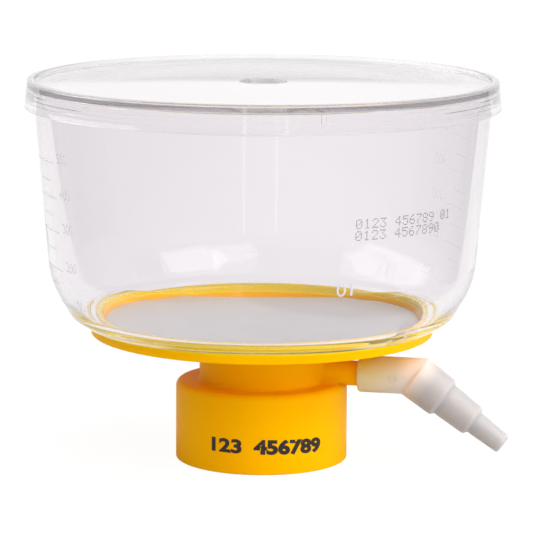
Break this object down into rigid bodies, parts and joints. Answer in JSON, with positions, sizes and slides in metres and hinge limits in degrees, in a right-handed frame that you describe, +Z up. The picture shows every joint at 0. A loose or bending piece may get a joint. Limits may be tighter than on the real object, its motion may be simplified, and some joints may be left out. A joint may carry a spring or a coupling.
{
  "type": "vacuum filtration unit",
  "caption": "Clear filter chamber with a lift-off lid, on a yellow base that screws on a bottle and holds a membrane; a bent hose adapter draws the vacuum.",
  "frame": {"origin": "on the surface it stands on, under the middle of the box round the whole unit, 2.2 mm from the upright axis of the chamber, base and collar, which crosses the X axis at x = -2.2 mm", "axes": "+Z up along the chamber's axis; +X along the side spigot, towards the hose adapter"},
  "size_m": [0.1389, 0.1344, 0.1092],
  "materials": {
    "yellow_plastic": "glossy",
    "clear_plastic": "clear, glossy",
    "natural_plastic": "milky, satin",
    "filter_membrane": "fine matt",
    "pale_rubber": "satin"
  },
  "bodies": {
    "base": {"filter_base": "yellow_plastic", "funnel": "clear_plastic", "membrane": "filter_membrane", "collar_gasket": "pale_rubber"},
    "lid": {"lid": "clear_plastic"},
    "hose_adapter": {"hose_adapter": "natural_plastic"}
  },
  "joints": [
    {"name": "lid_lift", "type": "slide", "parent": "base", "child": "lid", "axis": [0, 0, 1], "range_m": [0, 0.06]},
    {"name": "adapter_swivel", "type": "hinge", "parent": "base", "child": "hose_adapter", "pos_m": [0.0328, 0, 0.0255], "axis": [1, 0, 0], "continuous": true}
  ]
}
